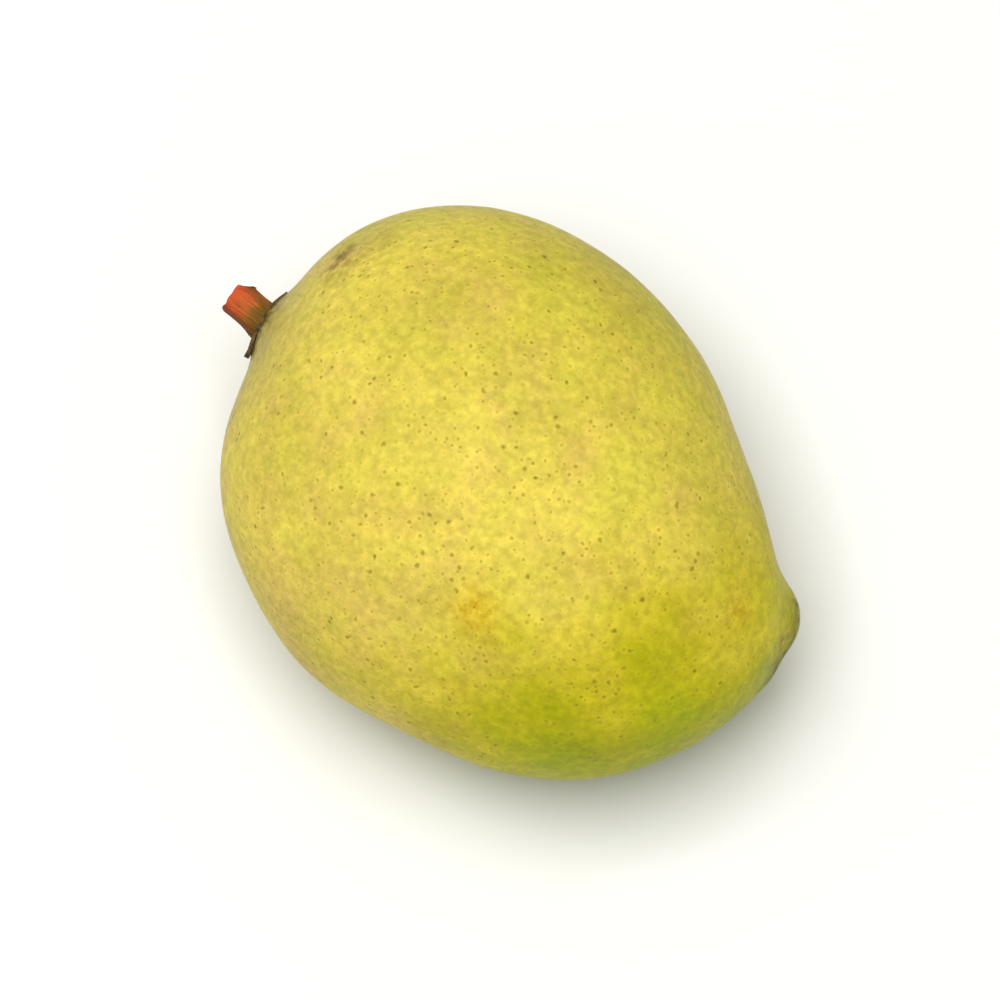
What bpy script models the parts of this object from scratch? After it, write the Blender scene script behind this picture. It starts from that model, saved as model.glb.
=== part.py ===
"""A whole green-ripe mango with the stub of its stalk, lying on one cheek.

The fruit is drawn in its own frame first, in millimetres, from a middle point inside it:
-X points to the stalk, +X to the nose, +Y to the belly edge that carries the beak, and the
two broad cheeks face +Z and -Z. At the end it is turned until its weight stands over the low
cheek, and set down on the plane Z = 0.
"""

import math

import bmesh
import bpy
import numpy as np
from mathutils import Matrix, Vector

MM = 0.001

# The fruit seen flat on: degrees from the nose towards the belly edge, and mm from the middle.
OUTLINE = (
    (-156, 50.8),  # back shoulder, beside the stalk
    (-132, 48.8),
    (-108, 46.5),
    (-84, 45.3),  # back edge
    (-60, 47.4),
    (-36, 52.6),
    (-12, 56.6),  # nose
    (12, 56.6),
    (36, 47.7),
    (60, 44.2),  # belly edge
    (84, 45.7),
    (108, 49.0),
    (132, 53.3),
    (156, 55.1),  # belly shoulder, higher than the back one
    (180, 51.8),  # under the stalk
)

# Swellings and hollows on the outline: turn and width in degrees, and height in mm.
BUMPS = (
    (15.0, 7.0, 3.4),  # beak, the small point beside the nose
    (26.0, 14.0, -2.1),  # sinus, the hollow above the beak
    (180.0, 6.3, 2.4),  # neck, the low swelling of skin that the stalk grows out of
)

CHEEK_RADIUS = 41.0  # half the thickness
NOSE_THINNING = 2.8  # the cheeks lose this towards the nose and gain it towards the stalk
BELLY_FULLNESS = 0.9  # the cheeks gain this towards the belly edge
CHEEK_DIFFERENCE = 0.4  # one cheek is a little fuller than the other

# Turning about the long and the cross axis that brings the weight over the flat spot.
REST_ROLL_DEG = 2.6
REST_PITCH_DEG = 4.8
SAG = 0.5  # how far the soft cheek flattens where it lies

COLUMNS = 64
RINGS = 54
RING_CROWDING = 0.45  # rings lie closer at the stalk and the nose than at the waist

SOCKET_RADIUS = 3.9
SOCKET_DEPTH = 3.0
STUB_GAP = 0.3  # clearance between the stub and its socket

# The stub is the woody end of the fruit stalk, snapped off above the neck.
STUB_LENGTH = 7.0
STUB_WAIST_RADIUS = 3.25
STUB_FOOT_HEIGHT = 1.6  # the foot narrows to the waist over this height
STUB_END_FLARE = 0.35
STUB_LEAN_DEG = 12.0  # it leans towards the belly edge
STUB_RIDGES = 5
STUB_RIDGE_HEIGHT = 0.15
STUB_SIDES = 30
STUB_RINGS = 14
BREAK_START = 1.2  # past this distance from its middle line, the end has lost its belly corner
END_SHARES = (0.7, 0.35)  # rings on the snapped end, as shares of its width

SHARP_EDGE_DEG = 40.0

# Linear colours.
SKIN_COLOUR = (0.66, 0.56, 0.06)
SKIN_ROUGHNESS = 0.45
WOOD_COLOUR = (0.39, 0.10, 0.03)
WOOD_ROUGHNESS = 0.75


def outline_waves():
    """Mean radius, wave numbers and complex wave sizes of the curve through OUTLINE."""
    degrees, radii = np.array(OUTLINE, float).T
    numbers = np.arange(1, len(radii) // 2 + 1)
    turns = np.radians(degrees)[:, None] * numbers
    through_points = np.hstack([np.ones((len(radii), 1)), np.cos(turns), np.sin(turns)])
    sizes = np.linalg.solve(through_points, radii)
    cosines, sines = np.split(sizes[1:], 2)
    return sizes[0], numbers, cosines - 1j * sines


MEAN_RADIUS, WAVE_NUMBERS, WAVE_SIZES = outline_waves()


def fruit_radius(ways):
    """Distance from the middle to the skin along each unit vector.

    A wave of the outline fades towards the cheeks as the cosine to the power of its number,
    so the surface stays smooth where all directions meet in the middle of a cheek.
    """
    x, y, z = ways.T
    around = (x + 1j * y)[:, None] ** WAVE_NUMBERS
    outline = MEAN_RADIUS + (around * WAVE_SIZES).real.sum(axis=1)
    flattening = CHEEK_RADIUS - MEAN_RADIUS - NOSE_THINNING * x + BELLY_FULLNESS * y
    radius = outline + flattening * z**2 + CHEEK_DIFFERENCE * z**3
    for turn, width, height in BUMPS:
        nearness = x * math.cos(math.radians(turn)) + y * math.sin(math.radians(turn))
        radius += height * np.exp(-2 * (1 - nearness) / math.radians(width) ** 2)
    return radius


def skin_ring(from_stalk):
    """Points of the skin on a circle of directions, this many radians from the stalk's."""
    turns = np.arange(COLUMNS) * 2 * np.pi / COLUMNS
    along = np.full(COLUMNS, -math.cos(from_stalk))
    across = math.sin(from_stalk)
    ways = np.column_stack([along, across * np.cos(turns), across * np.sin(turns)])
    return ways * fruit_radius(ways)[:, None]


def skin_rings(down):
    """Rings of skin from the mouth of the socket to the nose, flattened where the fruit lies."""
    stalk_way = np.array([[-1.0, 0.0, 0.0]])
    mouth_angle = math.asin(SOCKET_RADIUS / fruit_radius(stalk_way)[0])
    shares = np.linspace(0.0, 1.0, RINGS + 1)[:-1]
    shares = shares - RING_CROWDING * np.sin(2 * np.pi * shares) / (2 * np.pi)
    angles = mouth_angle + (np.pi - mouth_angle) * shares
    points = np.array([skin_ring(angle) for angle in angles])
    depths = points @ down
    pressed = np.clip(depths - (depths.max() - SAG), 0.0, None)
    return points - pressed[..., None] * down


def stub_ring(height, share=1.0):
    """Ring of the stub at a height over the mouth, or a share of its width in from the side."""
    turns = np.arange(STUB_SIDES) * 2 * np.pi / STUB_SIDES
    rise = max(height, 0.0)
    foot = SOCKET_RADIUS - STUB_GAP - STUB_WAIST_RADIUS
    foot_here = foot * math.exp(-((rise / STUB_FOOT_HEIGHT) ** 2))
    flare_here = STUB_END_FLARE * (rise / STUB_LENGTH) ** 3
    ridges = STUB_RIDGE_HEIGHT * min(rise / STUB_FOOT_HEIGHT, 1.0) * np.cos(STUB_RIDGES * turns)
    radius = share * (STUB_WAIST_RADIUS + foot_here + flare_here + ridges)
    across = radius * np.cos(turns)
    heights = np.minimum(height, STUB_LENGTH - np.clip(across - BREAK_START, 0.0, None))
    risen = np.clip(heights, 0.0, None)
    lean = math.tan(math.radians(STUB_LEAN_DEG)) * risen**2 / (risen + STUB_FOOT_HEIGHT)
    return np.column_stack([-heights, across + lean, radius * np.sin(turns)])


def mesh_from_rings(name, rings):
    """A closed mesh of vertex rings joined one to the next, with a point in each end."""
    builder = bmesh.new()
    first = builder.verts.new(rings[0].mean(axis=0))
    last = builder.verts.new(rings[-1].mean(axis=0))
    loops = [[builder.verts.new(point) for point in ring] for ring in rings]
    columns = len(loops[0])
    for i in range(columns):
        j = (i + 1) % columns
        builder.faces.new((first, loops[0][j], loops[0][i]))
        builder.faces.new((last, loops[-1][i], loops[-1][j]))
        for near, far in zip(loops, loops[1:]):
            builder.faces.new((near[i], near[j], far[j], far[i]))
    bmesh.ops.recalc_face_normals(builder, faces=builder.faces)
    mesh = bpy.data.meshes.new(name)
    builder.to_mesh(mesh)
    builder.free()
    mesh.shade_smooth()
    mesh.set_sharp_from_angle(angle=math.radians(SHARP_EDGE_DEG))
    return mesh


def fruit_and_stub_meshes(down):
    """The fruit with its socket, and the stub that stands in the socket with a gap all round."""
    skin = skin_rings(down)
    mouth_place = skin[0, :, 0].mean()
    socket_floor = skin[0].copy()
    socket_floor[:, 0] = mouth_place + SOCKET_DEPTH
    fruit = mesh_from_rings("fruit", [socket_floor, *skin])
    heights = np.linspace(0.0, STUB_LENGTH, STUB_RINGS)
    sides = [stub_ring(height) for height in (STUB_GAP - SOCKET_DEPTH, *heights)]
    end = [stub_ring(STUB_LENGTH, share) for share in END_SHARES]
    stub = mesh_from_rings("stub", [ring + (mouth_place, 0.0, 0.0) for ring in sides + end])
    return fruit, stub


def plain_material(name, colour, roughness):
    """A Principled material of this linear colour and roughness."""
    material = bpy.data.materials.new(name)
    material.use_nodes = True
    shader = material.node_tree.nodes["Principled BSDF"]
    shader.inputs["Base Color"].default_value = (*colour, 1.0)
    shader.inputs["Roughness"].default_value = roughness
    shader.inputs["Metallic"].default_value = 0.0
    material.diffuse_color = (*colour, 1.0)
    return material


def main():
    for thing in list(bpy.data.objects):
        bpy.data.objects.remove(thing)
    roll = Matrix.Rotation(math.radians(REST_ROLL_DEG), 4, "X")
    rest = Matrix.Rotation(math.radians(REST_PITCH_DEG), 4, "Y") @ roll
    down = np.array(rest.inverted().to_3x3() @ Vector((0.0, 0.0, -1.0)))
    meshes = fruit_and_stub_meshes(down)
    corners = np.array([rest @ vertex.co for mesh in meshes for vertex in mesh.vertices])
    low, high = corners.min(axis=0), corners.max(axis=0)
    middle = (low + high) / 2
    set_down = Matrix.Translation((-middle[0], -middle[1], -low[2]))
    place = Matrix.Scale(MM, 4) @ set_down @ rest
    skin = plain_material("waxy_green_yellow_skin", SKIN_COLOUR, SKIN_ROUGHNESS)
    wood = plain_material("snapped_stalk_wood", WOOD_COLOUR, WOOD_ROUGHNESS)
    for name, mesh, material in zip(("fruit_body", "stem_stub"), meshes, (skin, wood)):
        mesh.transform(place)
        mesh.materials.append(material)
        bpy.context.scene.collection.objects.link(bpy.data.objects.new(name, mesh))


main()
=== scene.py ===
# %% [markdown]
# # A whole mango, lying on its cheek
#
# The real thing is a drupe: one soft body under a thin waxy skin, with the woody stub of its
# stalk left on one end and a small point, the beak, near the other. Nothing on it was made by
# a tool, so nothing here is built from primitives. The form comes from one formula for the
# distance between the middle of the fruit and its skin, and the looks come from a few layered
# patterns whose sizes are real millimetres.

# %% Load the frame
import math

import bmesh
import bpy
import numpy as np
from mathutils import Matrix, Vector


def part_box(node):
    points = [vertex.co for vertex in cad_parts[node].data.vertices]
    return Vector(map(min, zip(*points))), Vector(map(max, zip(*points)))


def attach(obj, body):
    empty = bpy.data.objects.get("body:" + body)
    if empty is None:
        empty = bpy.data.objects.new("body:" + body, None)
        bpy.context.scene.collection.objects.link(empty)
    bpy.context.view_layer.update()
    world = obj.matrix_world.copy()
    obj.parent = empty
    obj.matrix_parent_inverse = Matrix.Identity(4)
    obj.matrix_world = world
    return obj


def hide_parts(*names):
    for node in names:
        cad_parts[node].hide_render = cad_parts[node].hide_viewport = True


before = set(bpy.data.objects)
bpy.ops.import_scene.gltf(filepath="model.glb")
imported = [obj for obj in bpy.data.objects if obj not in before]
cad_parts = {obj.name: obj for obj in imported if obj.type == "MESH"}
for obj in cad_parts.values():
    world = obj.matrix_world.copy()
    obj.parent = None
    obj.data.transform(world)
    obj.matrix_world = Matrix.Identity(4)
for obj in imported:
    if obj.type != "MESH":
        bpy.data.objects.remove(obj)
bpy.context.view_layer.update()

MM = 0.001

# %% [markdown]
# ## Places on the fruit
#
# Every place on the fruit is named by its direction from the middle, as places on the earth
# are: a turn from the nose towards the belly edge, and a lift towards the upper cheek. Bumps
# and marks are round spots on such directions. A grid laid over the skin would do too, but it
# would crumple where the stalk and the nose pinch it.

# %% Directions and round spots
def way_of(turn, lift=0.0):
    """Unit vector at this turn from the nose and this lift from the outline, in degrees."""
    turn, lift = math.radians(turn), math.radians(lift)
    level = math.cos(lift)
    return np.array([level * math.cos(turn), level * math.sin(turn), math.sin(lift)])


def spots(ways, marks):
    """Sum of bell-shaped spots: each has a turn, a lift and a width in degrees, and a height."""
    total = np.zeros(len(ways))
    for turn, lift, width, height in marks:
        total += height * np.exp(-2 * (1 - ways @ way_of(turn, lift)) / math.radians(width) ** 2)
    return total


STALK_TURN = 180.0
BEAK_TURN = 15.0
print("Stalk along", way_of(STALK_TURN).round(2), "and beak along", way_of(BEAK_TURN).round(2))

# %% [markdown]
# ## The form of the fruit
#
# A mango seen flat on isn't an ellipse: the shoulder on the belly side stands higher than the
# one on the back, the nose is blunt, and the beak and the hollow above it sit to one side of
# it. A sculptor would push these about by hand. Fifteen radii measured round the middle say the
# same thing in a form that can be repeated, and a sum of seven waves runs smoothly through
# them. Each wave fades towards the cheeks, so the surface has no pinch where all directions
# meet, and three round bumps add the beak, the hollow and the neck.

# %% Outline, cheeks and bumps
# Degrees from the nose towards the belly edge, and mm from the middle.
OUTLINE = (
    (-156, 50.8),
    (-132, 48.8),
    (-108, 46.5),
    (-84, 45.3),
    (-60, 47.4),
    (-36, 52.6),
    (-12, 56.6),
    (12, 56.6),
    (36, 47.7),
    (60, 44.2),
    (84, 45.7),
    (108, 49.0),
    (132, 53.3),
    (156, 55.1),
    (180, 51.8),
)
# Turn, lift and width in degrees, and height in mm: the beak, the hollow above it, the neck.
BUMPS = ((BEAK_TURN, 0.0, 7.0, 3.4), (26.0, 0.0, 14.0, -2.1), (STALK_TURN, 0.0, 6.3, 2.4))
# Half the thickness, and how it changes towards the nose, the belly and the upper cheek.
CHEEK_RADIUS = 41.0
NOSE_THINNING = 2.8
BELLY_FULLNESS = 0.9
CHEEK_DIFFERENCE = 0.4


def outline_waves():
    """Mean radius, wave numbers and complex wave sizes of the curve through OUTLINE."""
    degrees, radii = np.array(OUTLINE, float).T
    numbers = np.arange(1, len(radii) // 2 + 1)
    turns = np.radians(degrees)[:, None] * numbers
    through_points = np.hstack([np.ones((len(radii), 1)), np.cos(turns), np.sin(turns)])
    sizes = np.linalg.solve(through_points, radii)
    cosines, sines = np.split(sizes[1:], 2)
    return sizes[0], numbers, cosines - 1j * sines


MEAN_RADIUS, WAVE_NUMBERS, WAVE_SIZES = outline_waves()


def plain_radius(ways):
    """Distance in mm from the middle to the smooth skin along each unit vector."""
    x, y, z = ways.T
    around = (x + 1j * y)[:, None] ** WAVE_NUMBERS
    outline = MEAN_RADIUS + (around * WAVE_SIZES).real.sum(axis=1)
    flattening = CHEEK_RADIUS - MEAN_RADIUS - NOSE_THINNING * x + BELLY_FULLNESS * y
    return outline + flattening * z**2 + CHEEK_DIFFERENCE * z**3 + spots(ways, BUMPS)


print("Mean radius %.1f mm, from %d waves" % (MEAN_RADIUS, len(WAVE_NUMBERS)))

# %% [markdown]
# ## How it lies
#
# A mango laid on a table rolls until its weight stands over the lowest point of a cheek, and
# the soft cheek flattens a little there. The two turns below are the ones that bring this
# fruit to rest. The flat spot is pressed in by code, the way a sculptor would press the clay
# onto the bench, and the fruit is then moved to where its solid lies.

# %% Rest turn and flat spot
REST_ROLL_DEG = 2.6
REST_PITCH_DEG = 4.8
SAG = 0.5
COARSE_RINGS = 181
COARSE_STEP_DEG = 2

roll = Matrix.Rotation(math.radians(REST_ROLL_DEG), 3, "X")
REST = np.array(Matrix.Rotation(math.radians(REST_PITCH_DEG), 3, "Y") @ roll)
DOWN = REST.T @ (0.0, 0.0, -1.0)


def ways_at(from_stalk, turns):
    """Unit vectors at angles from the stalk and turns round it, both in radians."""
    from_stalk, turns = np.broadcast_arrays(from_stalk, turns)
    across = np.sin(from_stalk)
    ways = np.stack([-np.cos(from_stalk), across * np.cos(turns), across * np.sin(turns)], axis=-1)
    return ways.reshape(-1, 3)


coarse_angles = np.linspace(0, np.pi, COARSE_RINGS)[:, None]
coarse_ways = ways_at(coarse_angles, np.radians(np.arange(0, 360, COARSE_STEP_DEG)))
coarse = coarse_ways * plain_radius(coarse_ways)[:, None]
FLOOR_DEPTH = (coarse @ DOWN).max() - SAG


def pressed_flat(points):
    """Points in mm with all that would reach below the table pressed up to it."""
    below = np.clip(points @ DOWN - FLOOR_DEPTH, 0.0, None)
    return points - below[:, None] * DOWN


lying = pressed_flat(coarse) @ REST.T * MM
cad_low, cad_high = (np.array(corner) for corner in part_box("fruit_body"))
SHIFT = (cad_low + cad_high - lying.min(axis=0) - lying.max(axis=0)) / 2
SHIFT[2] = cad_low[2] - lying[:, 2].min()


def to_world(points):
    """From mm round the middle of the fruit to metres in the scene."""
    return np.asarray(points) @ REST.T * MM + SHIFT


print("Middle of the fruit in mm:", (to_world([[0, 0, 0]])[0] / MM).round(1))

# %% [markdown]
# ## Living unevenness
#
# No grown surface is as smooth as a formula. A fruit swells unevenly, so its skin carries broad
# low waves that show only as a slow wobble in the highlights, and shallow folds run out
# from where the stalk holds it. A noise texture could push the points about as well. A sum of
# seeded random waves does it in code, and gives the same fruit each time.

# %% Random waves and relief
TWO_PI = 2 * math.pi
WAVE_COUNT = 28
LENGTH_SPREAD = (0.75, 1.4)


def wandering(points, waves):
    """Sum of smooth random patterns: each has a length in mm, a seed and a height."""
    total = np.zeros(len(points))
    for length, seed, height in waves:
        chance = np.random.default_rng(seed)
        ways = chance.normal(size=(WAVE_COUNT, 3))
        ways /= np.linalg.norm(ways, axis=1)[:, None]
        pitches = TWO_PI / (length * chance.uniform(*LENGTH_SPREAD, WAVE_COUNT))
        starts = chance.uniform(0, TWO_PI, WAVE_COUNT)
        pattern = np.cos(points @ (ways * pitches[:, None]).T + starts).sum(axis=1)
        total += height * pattern / math.sqrt(WAVE_COUNT)
    return total


# Length in mm, seed and height in mm: slow swells, then dimples.
SKIN_WAVES = ((26.0, 3, 0.16), (7.0, 4, 0.025))
# Turn, lift and width in degrees, and height in mm: the two corners of the beak's blunt face,
# and the ring round the stalk where the neck is folded.
BEAK_CORNERS = ((18.5, 0.0, 3.0, 0.75), (3.5, 0.0, 3.5, 0.5))
FOLDED_RING = ((STALK_TURN, 0.0, 10.0, 0.16), (STALK_TURN, 0.0, 4.5, -0.16))
NECK_FOLDS = 9
FOLD_SWAY = 1.3


def skin_radius(ways):
    """Distance in mm to the skin with its swells, dimples, neck folds and beak corners."""
    radius = plain_radius(ways)
    turns = np.arctan2(ways[:, 2], ways[:, 1])
    folds = np.cos(NECK_FOLDS * turns + FOLD_SWAY * np.sin(2 * turns)) * spots(ways, FOLDED_RING)
    unevenness = wandering(ways * radius[:, None], SKIN_WAVES)
    return radius + unevenness + spots(ways, BEAK_CORNERS) + folds


relief_here = skin_radius(coarse_ways) - plain_radius(coarse_ways)
print("Relief from %.2f to %.2f mm" % (relief_here.min(), relief_here.max()))

# %% [markdown]
# ## The skin as a mesh
#
# The mesh is a globe whose two poles are the stalk and the nose, because the finest shapes sit
# there and the rings of a globe can be crowded towards its poles. A sculpted mesh with even
# quads would need ten times the points for the same neck. The first rings run down into the
# socket that the stalk grows from.

# %% Rings of skin
SOCKET_RADIUS = 3.45
SOCKET_DEPTH = 3.0
SKIN_COLUMNS = 352
SKIN_RINGS = 268
SKIN_CROWDING = 0.5


def turns_round(count):
    """This many even turns round a circle, in radians."""
    return np.arange(count) * TWO_PI / count


STALK_RADIUS = plain_radius(way_of(STALK_TURN)[None])[0]
mouth_angle = math.asin(SOCKET_RADIUS / STALK_RADIUS)
shares = np.arange(SKIN_RINGS) / SKIN_RINGS
shares = shares - SKIN_CROWDING * np.sin(TWO_PI * shares) / TWO_PI
ring_angles = mouth_angle + (np.pi - mouth_angle) * shares
ring_ways = ways_at(ring_angles[:, None], turns_round(SKIN_COLUMNS))
skin_points = pressed_flat(ring_ways * skin_radius(ring_ways)[:, None])
skin_rings = skin_points.reshape(SKIN_RINGS, SKIN_COLUMNS, 3)
socket_floor = skin_rings[0].copy()
MOUTH_PLACE = socket_floor[:, 0].mean()
socket_floor[:, 0] = MOUTH_PLACE + SOCKET_DEPTH
print("Socket mouth %.1f mm from the middle, %d rings of skin" % (-MOUTH_PLACE, SKIN_RINGS))

# %% From rings to a piece
def mesh_from_rings(name, rings, hoop=False):
    """A smooth mesh of joined rings, closed by a point at each end or round into a hoop."""
    builder = bmesh.new()
    ends = [] if hoop else [builder.verts.new(ring.mean(axis=0)) for ring in (rings[0], rings[-1])]
    loops = [[builder.verts.new(point) for point in ring] for ring in rings]
    next_loops = loops[1:] + loops[:1] if hoop else loops[1:]
    columns = len(loops[0])
    for i in range(columns):
        j = (i + 1) % columns
        if ends:
            builder.faces.new((ends[0], loops[0][j], loops[0][i]))
            builder.faces.new((ends[1], loops[-1][i], loops[-1][j]))
        for near, far in zip(loops, next_loops):
            builder.faces.new((near[i], near[j], far[j], far[i]))
    bmesh.ops.recalc_face_normals(builder, faces=builder.faces)
    mesh = bpy.data.meshes.new(name)
    builder.to_mesh(mesh)
    builder.free()
    mesh.shade_smooth()
    return mesh


def piece_of(name, mesh, stands_for=None):
    """Put a mesh in the scene as a piece that rides on the part's one body."""
    piece = bpy.data.objects.new(name, mesh)
    bpy.context.scene.collection.objects.link(piece)
    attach(piece, "root")
    if stands_for:
        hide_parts(stands_for)
    print(name, len(mesh.vertices), "points", len(mesh.polygons), "faces")
    return piece


skin_mesh = mesh_from_rings("skin", [to_world(ring) for ring in (socket_floor, *skin_rings)])
skin = piece_of("mango_skin", skin_mesh, "fruit_body")

# %% [markdown]
# ## Where the skin changes
#
# The colour of a ripening mango is laid down by the sun and by what rubbed against it. This one
# is yellow where the light reached, green round the nose and on the shaded cheek, peach-tan in
# clouds over the yellow, and dull and corky round the stalk. A few marks are its own: a brown
# rub on the shoulder and on the beak, two golden blushes, and the dark scar of the flower. A
# painter would brush these masks on. Here each is a value on the points of the mesh, worked out
# from directions, and the material reads it by name.

# %% Where each point of the skin lies
def places_of(mesh):
    """Points of a mesh in mm round the middle of the fruit, before it was laid down."""
    world = np.empty(len(mesh.vertices) * 3)
    mesh.vertices.foreach_get("co", world)
    return (world.reshape(-1, 3) - SHIFT) @ REST / MM


skin_places = places_of(skin_mesh)
from_middle = np.linalg.norm(skin_places, axis=1)
skin_ways = skin_places / from_middle[:, None]
nose_side, belly_side, up_side = skin_ways.T
print("Skin from %.1f to %.1f mm from the middle" % (from_middle.min(), from_middle.max()))

# %% Ripeness
# The greenest skin lies this way, beside the nose and just under the outline.
GREEN_WAY = way_of(-30.0, -5.0)
# Length in mm, seed and height, for the ragged edge of the green and for the tan clouds.
EDGE_WAVES = ((24.0, 11, 0.08), (9.0, 17, 0.04))
TAN_WAVES = ((19.0, 12, 1.0), (9.0, 13, 0.6))
# Turn, lift and width in degrees, and depth: the rich yellow beak, and two tan places.
BEAK_MARK = ((BEAK_TURN, 6.0, 15.0, 1.0),)
TAN_MARKS = ((-98.0, 33.0, 17.0, 1.7), (52.0, 78.0, 13.0, 0.8))
# How tan changes towards the nose, the belly and the upper cheek, and where it starts and ends.
TAN_LEANING = (-0.4, -0.7, 0.2)
TAN_RANGE = (-0.2, 1.5)
UNDERSIDE_RANGE = (-0.1, 0.9)

towards_green = skin_ways @ GREEN_WAY + wandering(skin_places, EDGE_WAVES)


def smooth_between(values, low, high):
    """0 below low, 1 above high, and an even curve between."""
    share = np.clip((values - low) / (high - low), 0.0, 1.0)
    return share * share * (3 - 2 * share)


def put_mask(mesh, name, values):
    """Keep one value for each point of the mesh under this name."""
    values = np.clip(values, 0.0, 1.0)
    mask = mesh.attributes.new(name, "FLOAT", "POINT")
    mask.data.foreach_set("value", values.astype(np.float32))
    print("mask", name, "mean %.2f" % values.mean())


def ripeness(start, full, beak, belly, underside):
    """A share that grows as the skin nears its green side, and what three places add to it."""
    share = smooth_between(towards_green, start, full) + beak * spots(skin_ways, BEAK_MARK)
    share += belly * np.clip(belly_side, 0, 1)
    return share + underside * smooth_between(-up_side, *UNDERSIDE_RANGE)


rich_yellow = ripeness(start=0.25, full=0.92, beak=0.6, belly=0.25, underside=0.0)
put_mask(skin_mesh, "rich_yellow", rich_yellow)
greenness = ripeness(start=0.56, full=1.25, beak=0.2, belly=0.12, underside=0.5)
put_mask(skin_mesh, "greenness", greenness)
tan = wandering(skin_places, TAN_WAVES) + skin_ways @ TAN_LEANING + spots(skin_ways, TAN_MARKS)
put_mask(skin_mesh, "tan_clouds", smooth_between(tan, *TAN_RANGE))

# %% Marks of this fruit
# Turn, lift and width in degrees, and depth.
MARKS = {
    "gold_marks": ((-66.0, 53.0, 5.0, 0.9), (7.4, 27.5, 3.2, 0.7)),
    "rub_marks": (
        (166.2, 21.8, 3.0, 0.4),
        (163.2, 20.3, 3.0, 0.6),
        (160.5, 19.3, 2.4, 0.6),
        (164.8, 25.0, 3.0, 0.35),
        (161.0, 27.0, 5.5, 0.2),
        (9.5, 6.5, 3.0, 0.7),
        (6.0, 6.0, 2.4, 0.6),
    ),
    "corky_neck": ((STALK_TURN, 0.0, 12.0, 0.9), (STALK_TURN, 0.0, 28.0, 0.25)),
    "stalk_foot": ((STALK_TURN, 0.0, 5.8, 2.0),),
}
# Broad places that are duskier or paler than the rest, and by how much.
TONE_MARKS = (
    (130.0, 55.0, 14.0, -0.11),
    (-153.0, 69.0, 10.0, -0.10),
    (-55.0, 36.0, 12.0, -0.11),
    (-100.0, 29.0, 11.0, -0.06),
    (170.0, 35.0, 11.0, 0.08),
    (-115.0, 58.0, 8.0, 0.07),
    (-140.0, 20.0, 16.0, 0.08),
    (46.0, 30.0, 14.0, 0.10),
    (10.0, 14.0, 12.0, 0.13),
)
MIDDLE_TONE = 0.5

for name, marks in MARKS.items():
    put_mask(skin_mesh, name, spots(skin_ways, marks))
put_mask(skin_mesh, "tone", MIDDLE_TONE + spots(skin_ways, TONE_MARKS))

# %% Scar of the flower
# The scar is a thin dark line with a dusky halo that runs over the beak: all in degrees.
SCAR_START, SCAR_END = -3.0, 22.0
START_FADE, END_FADE = 8.0, 6.0
SCAR_LIFT = 2.6
SCAR_WIDTH = 1.4
HALO_WIDTH = 5.6
SCAR_DEPTH = 0.7
HALO_DEPTH = 0.22
SCAR_WAVES = ((9.0, 16, 0.5),)

turn_here = np.degrees(np.arctan2(belly_side, nose_side))
lift_here = np.degrees(np.arcsin(up_side))
along_scar = smooth_between(turn_here, SCAR_START, SCAR_START + START_FADE)
along_scar = along_scar * smooth_between(-turn_here, -SCAR_END, -SCAR_END + END_FADE)
off_line = lift_here - SCAR_LIFT + wandering(skin_places, SCAR_WAVES)
scar = SCAR_DEPTH * np.exp(-((off_line / SCAR_WIDTH) ** 2))
halo = HALO_DEPTH * np.exp(-((off_line / HALO_WIDTH) ** 2))
put_mask(skin_mesh, "beak_scar", along_scar * (scar + halo))

# %% [markdown]
# ## Colours and shader nodes
#
# Colours are written as the hex values that a painter reads off a screen. Blender mixes light,
# so it wants the linear values behind them, and one function turns one into the other. Another
# adds a shader node, sets it up and links it, which keeps each material readable from top to
# bottom. Nodes could be placed by hand too, but a script can be read and run again.

# %% Colour and node helpers
def colour(hex_value):
    """Linear RGBA of an sRGB hex colour such as #D5C04E."""
    channels = [int(hex_value[i : i + 2], 16) / 255 for i in (1, 3, 5)]
    linear = [c / 12.92 if c <= 0.04045 else ((c + 0.055) / 1.055) ** 2.4 for c in channels]
    return (*linear, 1.0)


def add_node(tree, kind, inputs=None, output=0, **settings):
    """Add a node, set its settings, set or link its inputs, and give back the output asked for."""
    made = tree.nodes.new(kind)
    for name, value in settings.items():
        setattr(made, name, value)
    for name, value in (inputs or {}).items():
        if isinstance(value, bpy.types.NodeSocket):
            tree.links.new(value, made.inputs[name])
        else:
            made.inputs[name].default_value = value
    return made.outputs[output] if made.outputs else made


def new_material(mesh, name):
    """Dress a mesh in an empty node material, and give back its node tree."""
    material = bpy.data.materials.new(name)
    material.use_nodes = True
    material.node_tree.nodes.clear()
    mesh.materials.append(material)
    return material.node_tree


def millimetres(tree):
    """Where a point lies on its piece, in millimetres."""
    place = add_node(tree, "ShaderNodeTexCoord", output="Object")
    return add_node(tree, "ShaderNodeVectorMath", {0: place, "Scale": 1 / MM}, operation="SCALE")


print("Middle grey #808080 is %.3f in linear light" % colour("#808080")[0])

# %% [markdown]
# ## Waxy mango peel
#
# The peel is leathery under a thin bloom of wax. The wax grew on it, so nothing polished it,
# and it gives the eye a wide satin sheen with no sharp highlight. Under it the colour is
# cloudy, mottled and dotted with lenticels, the corky breathing pores of a mango, which are
# olive-brown and up to a millimetre wide. The clouds and the mottle are noise, and the pores
# are the cells of a Voronoi pattern, each with its own size. Photographs of a real peel would
# give more variety, but a pattern in millimetres stays sharp from any distance.

# %% Patterns of the peel
# Size in mm, detail and roughness of each noise.
NOISES = {"patch": (15.0, 2.0, 0.5), "cloud": (9.0, 3.0, 0.5), "mottle": (1.8, 3.0, 0.6)}
WOBBLE_MM = 0.5
MIDDLE_GREY = (0.5, 0.5, 0.5)

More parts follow.
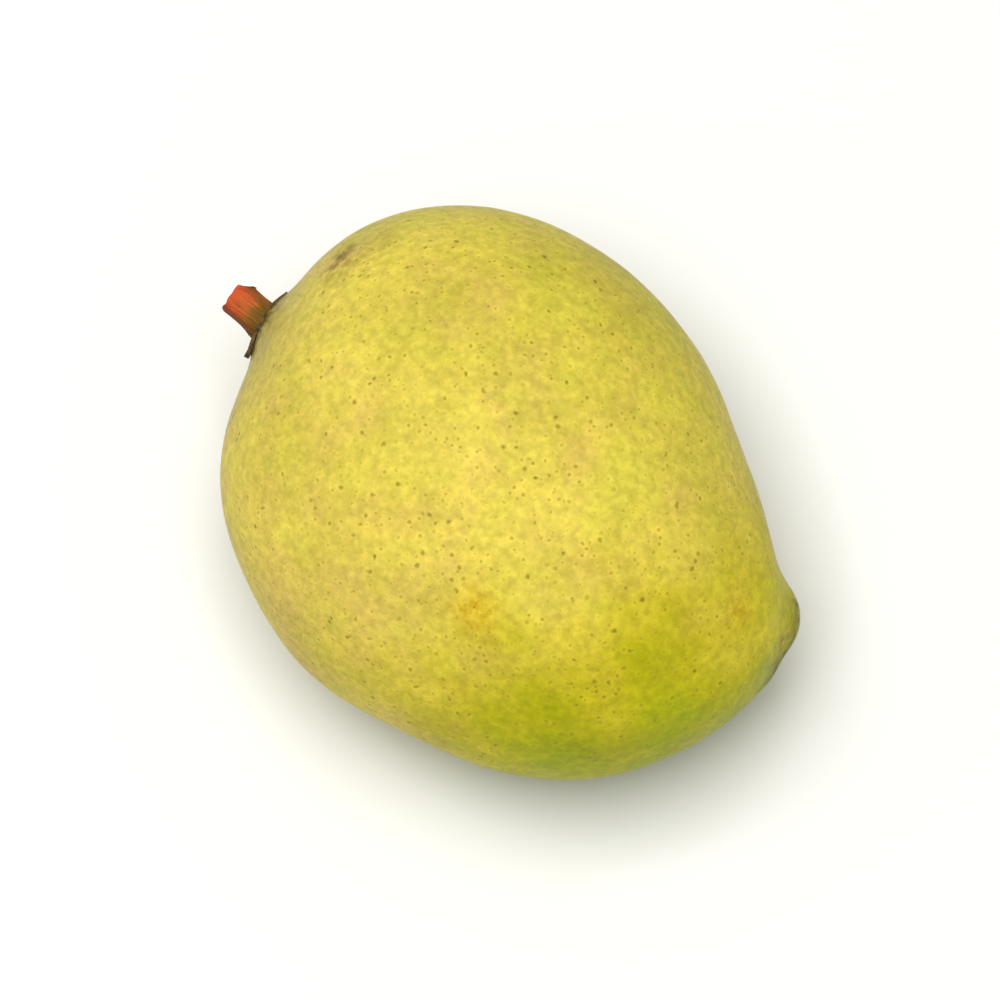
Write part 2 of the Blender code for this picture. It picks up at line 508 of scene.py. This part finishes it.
tree = new_material(skin_mesh, "waxy_mango_peel")
in_mm = millimetres(tree)
noise = {}
for name, (size, detail, rough) in NOISES.items():
    inputs = {"Vector": in_mm, "Scale": 1 / size, "Detail": detail, "Roughness": rough}
    noise[name] = add_node(tree, "ShaderNodeTexNoise", inputs)
wobble = {0: noise["mottle"].node.outputs["Color"], 1: MIDDLE_GREY}
wobble = add_node(tree, "ShaderNodeVectorMath", wobble, operation="SUBTRACT")
wobble = {0: wobble, "Scale": 2 * WOBBLE_MM}
wobble = add_node(tree, "ShaderNodeVectorMath", wobble, operation="SCALE")
uneven_mm = add_node(tree, "ShaderNodeVectorMath", {0: in_mm, 1: wobble}, operation="ADD")
mask = {
    name: add_node(tree, "ShaderNodeAttribute", output="Fac", attribute_name=name)
    for name in ("rich_yellow", "greenness", "tan_clouds", "beak_scar", "tone", *MARKS)
}
print("Noises:", *noise, "and masks:", *mask)

# %% [markdown]
# Each pore sits in a cell of its own, and a random number of that cell sets how wide it is. The
# small faint ones lie closest, the olive ones show best, and the dark specks are rare. Round
# each runs a pale ring, where the skin swells over its rim.

# %% Pores
# Mean distance and largest radius in mm, and the smallest radius as a share of the largest.
# A share below 0 leaves some cells empty.
PORES = {"faint": (1.45, 0.55, 0.4), "olive": (2.1, 0.60, -0.1), "dark": (4.6, 0.64, -0.1)}
# Where a ring starts and is full, and where a pore is full, as shares of the largest radius.
RING_START, RING_FULL, PORE_FULL = -0.9, -0.1, 0.6

pore = {}
pale_ring = 0.0
for name, (spacing, radius, least) in PORES.items():
    cells = {"Vector": uneven_mm, "Scale": 1 / spacing, "Randomness": 1.0}
    distance = add_node(tree, "ShaderNodeTexVoronoi", cells, output="Distance")
    chance = add_node(tree, "ShaderNodeSeparateColor", {0: distance.node.outputs["Color"]})
    widest = radius / spacing
    sizes = {0: chance, 3: least * widest, 4: widest}
    edge = add_node(tree, "ShaderNodeMapRange", sizes)
    inside = add_node(tree, "ShaderNodeMath", {0: edge, 1: distance}, operation="SUBTRACT")
    fade = {0: inside, 1: RING_START * widest, 2: RING_FULL * widest}
    ring = add_node(tree, "ShaderNodeMapRange", fade)
    pale_ring = add_node(tree, "ShaderNodeMath", {0: pale_ring, 1: ring}, operation="MAXIMUM")
    fade = {0: inside, 2: PORE_FULL * widest}
    pore[name] = add_node(tree, "ShaderNodeMapRange", fade, interpolation_type="SMOOTHSTEP")
print("Pores about", *(spacing for spacing, radius, least in PORES.values()), "mm apart")

# %% [markdown]
# A few specks are large enough to be told apart, so they sit where this fruit has them: each is
# a small ball in space whose cut through the skin is the speck.

# %% Specks in their own places
# Turn and lift in degrees, and radius in mm.
OWN_SPECKS = (
    (74.3, 75.1, 0.62),
    (-132.9, 63.2, 0.58),
    (-130.7, 56.5, 0.50),
    (-110.4, 67.1, 0.50),
    (-98.8, 69.7, 0.52),
    (-103.8, 66.9, 0.42),
    (-97.4, 59.9, 0.50),
    (-21.7, 65.1, 0.55),
    (15.1, 86.0, 0.48),
    (5.9, 82.8, 0.42),
    (120.4, 78.0, 0.50),
    (148.8, 86.1, 0.50),
    (103.3, 86.2, 0.42),
    (168.9, 79.0, 0.42),
    (-166.0, 51.4, 0.48),
    (-7.5, 46.5, 0.60),
    (117.3, 34.4, 0.60),
    (-20.1, 44.7, 0.55),
    (170.9, 26.2, 0.50),
    (146.9, 20.3, 0.55),
    (-169.7, 23.7, 0.45),
    (-173.7, 42.3, 0.45),
)
# Where a speck starts and is full, as shares of its radius.
SPECK_START, SPECK_FULL = 1.25, 0.15

specks = pore["dark"]
for turn, lift, radius in OWN_SPECKS:
    way = way_of(turn, lift)[None]
    middle = to_world(way * skin_radius(way)[:, None])[0] / MM
    ends = {0: uneven_mm, 1: middle}
    away = add_node(tree, "ShaderNodeVectorMath", ends, "Value", operation="DISTANCE")
    fade = {0: away, 1: SPECK_START * radius, 2: SPECK_FULL * radius}
    speck = add_node(tree, "ShaderNodeMapRange", fade, interpolation_type="SMOOTHSTEP")
    specks = add_node(tree, "ShaderNodeMath", {0: specks, 1: speck}, operation="MAXIMUM")
print(len(OWN_SPECKS), "specks in their own places")

# %% [markdown]
# Clouds and mottle don't only show as colour. They also break up the marks, crowd the pores and
# change the brightness and the sheen, so that all of it looks grown together. Each line of the
# table takes a pattern, the stretch of it that counts, and what that stretch turns into.

# %% What follows the clouds and the mottle
# Pattern, its low and high value, and what they become.
FOLLOWERS = {
    "green_sway": (noise["cloud"], 0.3, 0.7, -0.1, 0.1),
    "lemon": (noise["cloud"], 0.42, 0.62, 0.0, 0.7),
    "tan": (noise["cloud"], 0.62, 0.36, 0.25, 0.9),
    "crowding": (noise["cloud"], 0.62, 0.38, 0.36, 0.8),
    "sheen": (noise["cloud"], 0.3, 0.7, 0.42, 0.52),
    "mark_break": (noise["mottle"], 0.62, 0.38, 0.35, 1.0),
    "foot_break": (noise["mottle"], 0.6, 0.42, 0.35, 1.0),
    "scar_break": (noise["mottle"], 0.62, 0.42, 0.55, 1.0),
    "patch_light": (noise["patch"], 0.35, 0.65, 0.92, 1.08),
    "mottle_light": (noise["mottle"], 0.3, 0.7, 0.82, 1.15),
    "ring_light": (pale_ring, 0.0, 1.0, 0.98, 1.05),
    "tone_light": (mask["tone"], 0.0, 1.0, 1.0 - MIDDLE_TONE, 2.0 - MIDDLE_TONE),
}
PORE_DEPTH = 0.68

follower = {
    name: add_node(tree, "ShaderNodeMapRange", dict(enumerate(stretch)))
    for name, stretch in FOLLOWERS.items()
}
PRODUCTS = {
    "tan": (mask["tan_clouds"], follower["tan"]),
    "foot": (mask["stalk_foot"], follower["foot_break"]),
    "gold": (mask["gold_marks"], follower["mark_break"]),
    "rub": (mask["rub_marks"], follower["mark_break"]),
    "scar": (mask["beak_scar"], follower["scar_break"]),
    "faint": (pore["faint"], follower["crowding"]),
    "olive": (pore["olive"], PORE_DEPTH),
    "speck": (specks, PORE_DEPTH),
}
share = {
    name: add_node(tree, "ShaderNodeMath", {0: first, 1: second}, operation="MULTIPLY")
    for name, (first, second) in PRODUCTS.items()
}
print("Shares:", *share)

# %% [markdown]
# The colours go on like glazes, from the ground up, and each glaze has a share that says where
# it lies. What is grown into the peel comes first, then the marks on it, then the pores. At the
# end the whole is made lighter and darker in patches.

# %% Glazes of the peel
# A colour Mix node has several sockets of one name, so they are told apart by number.
MIX_SHARE, MIX_UNDER, MIX_OVER, MIX_RESULT = 0, 6, 7, 2
PEEL_GROUND = "#D5C04E"

sways = {0: mask["greenness"], 1: follower["green_sway"]}
green_share = add_node(tree, "ShaderNodeMath", sways, operation="ADD", use_clamp=True)
PEEL_GLAZES = (
    (follower["lemon"], "#D8C74E"),
    (share["tan"], "#D2B856"),
    (mask["rich_yellow"], "#C8B816"),
    (green_share, "#8CA208"),
    (mask["corky_neck"], "#B9AC63"),
    (share["foot"], "#5E4E1A"),
    (share["gold"], "#C3980E"),
    (share["rub"], "#8A6E24"),
    (share["scar"], "#5A4E20"),
    (share["faint"], "#9C8724"),
    (share["olive"], "#8A7820"),
    (share["speck"], "#6E5C12"),
)
peel = colour(PEEL_GROUND)
for thickness, glaze in PEEL_GLAZES:
    layers = {MIX_SHARE: thickness, MIX_UNDER: peel, MIX_OVER: colour(glaze)}
    peel = add_node(tree, "ShaderNodeMix", layers, MIX_RESULT, data_type="RGBA")
for name in ("patch_light", "mottle_light", "ring_light", "tone_light"):
    brighter = {0: peel, "Scale": follower[name]}
    peel = add_node(tree, "ShaderNodeVectorMath", brighter, operation="SCALE")
print(len(PEEL_GLAZES), "glazes on the peel")

# %% [markdown]
# The pores are slightly sunk and duller than the wax round them, so roughness and relief follow
# the same patterns as the colour. Wax has an IOR of about 1.4, and its bloom scatters most of
# what a polished one would mirror, so the highlight is kept low. Light also goes a millimetre
# or two into the peel and comes out again beside where it went in, which takes the hardness
# out of the shading.

# %% Sheen and relief of the peel
PORE_DULLNESS = 0.2
RELIEF_MM = 0.06

dullness = {0: share["olive"], 1: PORE_DULLNESS, 2: follower["sheen"]}
roughness = add_node(tree, "ShaderNodeMath", dullness, operation="MULTIPLY_ADD")
relief = noise["mottle"]
for name in ("faint", "olive"):
    relief = add_node(tree, "ShaderNodeMath", {0: relief, 1: share[name]}, operation="SUBTRACT")
bumps = {"Height": relief, "Strength": 0.7, "Distance": RELIEF_MM * MM}
peel_shader = {
    "Base Color": peel,
    "Roughness": roughness,
    "Normal": add_node(tree, "ShaderNodeBump", bumps),
    "IOR": 1.4,
    "Specular IOR Level": 0.1,
    "Specular Tint": colour("#FFF3B0"),
    "Sheen Weight": 0.02,
    "Sheen Tint": colour("#E9E6C8"),
    "Subsurface Weight": 0.10,
    "Subsurface Radius": (1.0, 0.7, 0.1),
    "Subsurface Scale": 1.5 * MM,
}
shader = add_node(tree, "ShaderNodeBsdfPrincipled", peel_shader)
add_node(tree, "ShaderNodeOutputMaterial", {"Surface": shader})
print("Peel of", len(tree.nodes), "nodes")

# %% [markdown]
# ## The snapped stub
#
# The fruit hung from a green woody stalk, which snapped a few millimetres above the skin. The
# stub left behind has a flared foot, a narrower waist and long fibres, and its end is stepped
# and short of one corner. It is turned ring by ring like the fruit, with the fibres as fine
# ridges in the radius, because a bump map alone would leave the broken edge straight.

# %% Stub rings
STUB_LENGTH = 7.3
STUB_WAIST_RADIUS = 3.25
STUB_FOOT_FLARE = 0.35
STUB_FOOT_HEIGHT = 1.6
STUB_END_FLARE = 0.35
STUB_LEAN = math.tan(math.radians(8.5))
STUB_RIDGES = 5
STUB_RIDGE_HEIGHT = 0.15
# Past this distance from its middle line, the end has lost its belly corner.
BREAK_START = 1.2
# The fibres are waves on a wide cylinder, drawn out along the stub. They start above the foot.
FIBRE_WAVES = ((1.5, 21, 0.07),)
FIBRE_SPREAD = 5.0
FIBRE_SHORTENING = 0.18
FIBRE_START = 0.8
# The steps of the break are waves that are squeezed until they are nearly two-valued.
STEP_WAVES = ((2.4, 22, 2.5),)
STEP_HEIGHT = 0.16
EDGE_GAP = 0.02
STUB_SIDES = 120
STUB_RINGS = 70
ROOT_HEIGHTS = (-2.6, -1.0)
OVER_THE_BREAK = 0.3
END_RINGS = 16
END_SHARES = np.linspace(0.985, 0.06, END_RINGS)


def stub_ring(height, share=1.0):
    """Ring of the stub at a height over the skin, or a share of its width in from the side."""
    turns = turns_round(STUB_SIDES)
    rise = max(height, 0.0)
    foot = STUB_FOOT_FLARE * math.exp(-((rise / STUB_FOOT_HEIGHT) ** 2))
    flare = STUB_END_FLARE * (rise / STUB_LENGTH) ** 3
    ridges = STUB_RIDGE_HEIGHT * min(rise / STUB_FOOT_HEIGHT, 1.0) * np.cos(STUB_RIDGES * turns)
    cylinder = np.column_stack([np.cos(turns), np.sin(turns), np.zeros(STUB_SIDES)]) * FIBRE_SPREAD
    cylinder[:, 2] = rise * FIBRE_SHORTENING
    fibres = wandering(cylinder, FIBRE_WAVES) * min(rise / FIBRE_START, 1.0)
    radius = share * (STUB_WAIST_RADIUS + foot + flare + ridges + fibres)
    across, sideways = radius * np.cos(turns), radius * np.sin(turns)
    broken = STUB_LENGTH - np.clip(across - BREAK_START, 0.0, None)
    face = np.column_stack([across, sideways, np.zeros(STUB_SIDES)])
    broken += STEP_HEIGHT * np.tanh(wandering(face, STEP_WAVES))
    heights = np.minimum(height, broken - EDGE_GAP) if share == 1.0 else broken
    risen = np.clip(heights, 0.0, None)
    lean = STUB_LEAN * risen**2 / (risen + STUB_FOOT_HEIGHT)
    return np.column_stack([MOUTH_PLACE - heights, across + lean, sideways])


side_heights = np.linspace(0.0, STUB_LENGTH + OVER_THE_BREAK, STUB_RINGS)
stub_rings = [stub_ring(height) for height in (*ROOT_HEIGHTS, *side_heights)]
stub_rings += [stub_ring(STUB_LENGTH, share) for share in END_SHARES]
stub_mesh = mesh_from_rings("stub", [to_world(ring) for ring in stub_rings])
stub = piece_of("stalk_stub", stub_mesh, "stem_stub")

# %% [markdown]
# ## Snapped green wood
#
# This is young mango wood under a thin bark, torn across and dried. The fresh break is orange-red,
# and the bark goes from that through brown to an olive foot. The side turned away from the light
# is painted a darker maroon, which is painted shade. On the broken face a paler pith sits in a
# darker ring. Torn fibres
# scatter light, so it is matt and streaked. Masks for the height, the side and the face are
# kept on the points, as they were for the skin.

# %% Stub masks
BELLY_RANGE = (0.25, 0.95)
BACK_RANGE = (0.1, 1.0)
BACK_TILT = 0.4
MEAN_LEAN = 0.8
# Distances from the pith, as shares of the waist.
PITH_RANGE = (-0.55, 0.05)
RING_PLACE, RING_WIDTH = 0.62, 0.13
# The second point of the mesh is the middle of the broken face, and its last rings lie on it.
FACE_MIDDLE = 1

stub_places = places_of(stub_mesh)
risen = (MOUTH_PLACE - stub_places[:, 0]) / STUB_LENGTH
lean_here = STUB_LEAN * MEAN_LEAN * STUB_LENGTH * np.clip(risen, 0, 1)
towards_belly = (stub_places[:, 1] - lean_here) / STUB_WAIST_RADIUS
towards_back = -towards_belly - BACK_TILT * stub_places[:, 2] / STUB_WAIST_RADIUS
on_face = np.zeros(len(stub_places))
on_face[-END_RINGS * STUB_SIDES :] = 1.0
on_face[FACE_MIDDLE] = 1.0
from_pith = np.linalg.norm(stub_places[:, 1:] - stub_places[FACE_MIDDLE, 1:], axis=1)
from_pith /= STUB_WAIST_RADIUS
put_mask(stub_mesh, "rise", risen)
put_mask(stub_mesh, "belly_side", smooth_between(towards_belly, *BELLY_RANGE))
# This mask marks the side turned away from the light, where shade is painted into the colour.
put_mask(stub_mesh, "painted_shade_side", smooth_between(towards_back, *BACK_RANGE))
put_mask(stub_mesh, "pith", on_face * smooth_between(-from_pith, *PITH_RANGE))
in_ring = np.exp(-(((from_pith - RING_PLACE) / RING_WIDTH) ** 2))
put_mask(stub_mesh, "wood_ring", on_face * in_ring)

# %% Bark, break and fibres
# Length along the stub and width across it. Fibres of 0.35 mm are coarser than real ones, so
# that they show in the render.
FIBRE_MM = (5.0, 0.35, 0.35)
BLOTCH_MM = 1.8
# Low and high value of the blotches, and how far they move the colours down or up the stub.
BLOTCH_SWAY = (0.3, 0.7, -0.16, 0.16)
FIBRE_RELIEF_MM = 0.15

tree = new_material(stub_mesh, "snapped_green_wood")
in_mm = millimetres(tree)
along_fibres = {0: in_mm, 1: FIBRE_MM}
along_fibres = add_node(tree, "ShaderNodeVectorMath", along_fibres, operation="DIVIDE")
fibre = {"Vector": along_fibres, "Scale": 1.0, "Detail": 3.0}
fibre = add_node(tree, "ShaderNodeTexNoise", fibre)
blotch = {"Vector": in_mm, "Scale": 1 / BLOTCH_MM, "Detail": 3.0}
blotch = add_node(tree, "ShaderNodeTexNoise", blotch)
sway = add_node(tree, "ShaderNodeMapRange", dict(enumerate((blotch, *BLOTCH_SWAY))))
mask = {
    name: add_node(tree, "ShaderNodeAttribute", output="Fac", attribute_name=name)
    for name in ("rise", "belly_side", "painted_shade_side", "pith", "wood_ring")
}
rise = add_node(tree, "ShaderNodeMath", {0: mask["rise"], 1: sway}, operation="ADD")
WOOD_GROUND = "#684C12"
# What a glaze follows, the low and high value of that, what they become, and the glaze.
WOOD_GLAZES = (
    (rise, 0.18, 0.46, 0.0, 1.0, "#9C5C1E"),
    (rise, 0.44, 0.80, 0.0, 1.0, "#C25028"),
    (mask["belly_side"], 0.0, 1.0, 0.0, 0.8, "#90561E"),
    # Painted shade: a darker maroon on the side turned away from the light.
    (mask["painted_shade_side"], 0.0, 1.0, 0.0, 0.75, "#662E16"),
    (mask["pith"], 0.0, 1.0, 0.0, 0.6, "#CF9458"),
    (mask["wood_ring"], 0.0, 1.0, 0.0, 0.6, "#883818"),
    (fibre, 0.56, 0.72, 0.0, 0.55, "#552F0E"),
    (fibre, 0.42, 0.28, 0.0, 0.4, "#D97C34"),
)
wood = colour(WOOD_GROUND)
for *stretch, glaze in WOOD_GLAZES:
    thickness = add_node(tree, "ShaderNodeMapRange", dict(enumerate(stretch)))
    layers = {MIX_SHARE: thickness, MIX_UNDER: wood, MIX_OVER: colour(glaze)}
    wood = add_node(tree, "ShaderNodeMix", layers, MIX_RESULT, data_type="RGBA")
bumps = {"Height": fibre, "Strength": 0.8, "Distance": FIBRE_RELIEF_MM * MM}
wood_shader = {
    "Base Color": wood,
    "Roughness": 0.68,
    "Normal": add_node(tree, "ShaderNodeBump", bumps),
    "Specular IOR Level": 0.15,
}
shader = add_node(tree, "ShaderNodeBsdfPrincipled", wood_shader)
add_node(tree, "ShaderNodeOutputMaterial", {"Surface": shader})
print("Wood of", len(tree.nodes), "nodes")

# %% [markdown]
# ## What is left of the flower
#
# Round the foot of the stub sits a thin dry collar, the dead remains of the flower's base. It is
# ragged, and two flaps of it curl up off the skin. It could be cut from a thin sheet and
# crumpled. A hoop of six rings whose width and lift wander round the stub gives that tatter
# with very few faces, and it can't come apart.

# %% Dry collar
COLLAR_SLICES = 144
COLLAR_INNER = 3.3
COLLAR_REACH = 3.8
COLLAR_THICK = 0.3
TATTER_WAVES = ((3.2, 31, 1.0),)
TATTER_SPREAD = 5.0
TATTER_REACH = 0.3
TATTER_CURL = 0.2
LEAST_CURL = 0.02
# Turn round the stalk and width in radians, and how far each flap reaches, curls and thickens.
FLAPS = ((2.75, 0.4, 4.2, 0.75, 0.3), (0.3, 0.24, 3.2, 0.15, 0.0))
# Share of the curl at half width, share of the thickness at the rim, and what sinks or stands.
HALF_CURL = 0.35
RIM_THICK = 0.6
INNER_SINK, HALF_SINK, RIM_SINK = 0.25, 0.2, 0.15
INNER_STAND = 0.1


def on_skin(distance, turns, lift):
    """Points this far from the stalk's line and lifted off the skin, at turns round it."""
    ways = ways_at(np.arcsin(distance / STALK_RADIUS), turns)
    return ways * (skin_radius(ways) + lift)[:, None]


turns = turns_round(COLLAR_SLICES)
circle = np.column_stack([np.cos(turns), np.sin(turns), np.zeros(COLLAR_SLICES)])
tatter = wandering(circle * TATTER_SPREAD, TATTER_WAVES)
reach = COLLAR_REACH + TATTER_REACH * tatter
curl = LEAST_CURL + TATTER_CURL * np.abs(tatter)
thicker = np.zeros(COLLAR_SLICES)
for turn, width, flap_reach, flap_curl, flap_thick in FLAPS:
    away = np.angle(np.exp(1j * (turns - turn)))
    flap = np.exp(-((away / width) ** 2))
    reach += flap_reach * flap
    curl += flap_curl * flap
    thicker += flap_thick * flap
inner = np.full(COLLAR_SLICES, COLLAR_INNER)
half_way = (inner + reach) / 2
collar_rings = [
    on_skin(inner, turns, -INNER_SINK),
    on_skin(inner, turns, COLLAR_THICK + INNER_STAND),
    on_skin(half_way, turns, COLLAR_THICK + HALF_CURL * curl),
    on_skin(reach, turns, curl + RIM_THICK * COLLAR_THICK + thicker),
    on_skin(reach, turns, curl - RIM_SINK - thicker),
    on_skin(half_way, turns, HALF_CURL * curl - HALF_SINK),
]
collar_mesh = mesh_from_rings("collar", [to_world(ring) for ring in collar_rings], hoop=True)
collar = piece_of("dry_collar", collar_mesh)

# %% [markdown]
# ## Dry flower remains
#
# Dead plant tissue that shrivelled and flaked: nearly black, with paler brown where a flake has
# come off, and without any gloss, so it draws a soft dark line under the stub.

# %% Crust of the collar
FLAKE_MM = 0.9
FLAKE_RANGE = (0.4, 0.66)
CRUST_RELIEF_MM = 0.15

tree = new_material(collar_mesh, "dry_flower_remains")
flakes = {"Vector": millimetres(tree), "Scale": 1 / FLAKE_MM, "Detail": 4.0}
flakes = add_node(tree, "ShaderNodeTexNoise", flakes)
pale_share = add_node(tree, "ShaderNodeMapRange", dict(enumerate((flakes, *FLAKE_RANGE))))
layers = {MIX_SHARE: pale_share, MIX_UNDER: colour("#32260F"), MIX_OVER: colour("#73591F")}
crust = add_node(tree, "ShaderNodeMix", layers, MIX_RESULT, data_type="RGBA")
bumps = {"Height": flakes, "Strength": 0.8, "Distance": CRUST_RELIEF_MM * MM}
crust_shader = {
    "Base Color": crust,
    "Roughness": 0.85,
    "Normal": add_node(tree, "ShaderNodeBump", bumps),
}
shader = add_node(tree, "ShaderNodeBsdfPrincipled", crust_shader)
add_node(tree, "ShaderNodeOutputMaterial", {"Surface": shader})
print("Crust of", len(tree.nodes), "nodes")

# %% [markdown]
# ## Camera
#
# The fruit lies down, so the camera looks down on its broad cheek. It is turned until the
# stalk points up and to the left, as on the picture, and stands a metre off with a long
# lens, which keeps the fruit as flat in view as a product photograph does.

# %% Camera
AZIMUTH_DEG = 36.8
ELEVATION_DEG = 76.0
CAMERA_DISTANCE = 1.0
LENS_MM = 200.0

azimuth, elevation = math.radians(AZIMUTH_DEG), math.radians(ELEVATION_DEG)
image_right = Vector((math.cos(azimuth), math.sin(azimuth), 0.0))
level_way = Vector((math.sin(azimuth), -math.cos(azimuth), 0.0))
towards_camera = level_way * math.cos(elevation) + Vector((0.0, 0.0, math.sin(elevation)))
image_up = towards_camera.cross(image_right)
aim = Vector(to_world([[0, 0, 0]])[0])
camera_data = bpy.data.cameras.new("camera")
camera_data.lens = LENS_MM
camera = bpy.data.objects.new("camera", camera_data)
bpy.context.scene.collection.objects.link(camera)
camera.location = aim + towards_camera * CAMERA_DISTANCE
camera.rotation_euler = Matrix((image_right, image_up, towards_camera)).transposed().to_euler()
bpy.context.scene.camera = camera
print("Camera at", [round(c, 3) for c in camera.location])

# %% [markdown]
# ## Table and light
#
# The table is a sheet of pale matt card: it has no gloss, so it shows nothing but the soft
# shadow. One broad light hangs close beside the camera, a little to the top and the left of the
# picture, so the fruit is brightest in the middle and darkens evenly towards its edges. A
# window-sized light suits wax, because it turns into a wide sheen and not into a spot, and a
# pale room opens the shadows.

# %% Table
TABLE_REACH = 3.0

table_builder = bmesh.new()
bmesh.ops.create_grid(table_builder, x_segments=1, y_segments=1, size=TABLE_REACH)
table_mesh = bpy.data.meshes.new("table")
table_builder.to_mesh(table_mesh)
table_builder.free()
table = bpy.data.objects.new("pale_table", table_mesh)
bpy.context.scene.collection.objects.link(table)
tree = new_material(table_mesh, "pale_matt_card")
card_shader = {"Base Color": colour("#F1F0EC"), "Roughness": 0.9}
shader = add_node(tree, "ShaderNodeBsdfPrincipled", card_shader)
add_node(tree, "ShaderNodeOutputMaterial", {"Surface": shader})
print("Table of %.0f m square" % table.dimensions.x)

# %% Light and room
# Shares of the way to the camera, up in the picture and to its right, and metres and watts.
LIGHT_FORWARD, LIGHT_UP, LIGHT_RIGHT = 0.92, 0.20, -0.09
LIGHT_DISTANCE = 1.2
LIGHT_SIZE = 0.7
LIGHT_POWER = 15.6
ROOM_STRENGTH = 0.30

light_way = towards_camera * LIGHT_FORWARD + image_up * LIGHT_UP + image_right * LIGHT_RIGHT
light_data = bpy.data.lights.new("window_above", "AREA")
light_data.size = LIGHT_SIZE
light_data.energy = LIGHT_POWER
light = bpy.data.objects.new("window_above", light_data)
bpy.context.scene.collection.objects.link(light)
light.location = aim + light_way.normalized() * LIGHT_DISTANCE
light.rotation_euler = light_way.to_track_quat("Z", "Y").to_euler()
room = bpy.data.worlds.new("pale_room")
room.use_nodes = True
room.node_tree.nodes["Background"].inputs["Color"].default_value = colour("#F4F6F8")
room.node_tree.nodes["Background"].inputs["Strength"].default_value = ROOM_STRENGTH
bpy.context.scene.world = room
bpy.context.scene.view_settings.view_transform = "Standard"
print("Light at", [round(c, 2) for c in light.location])
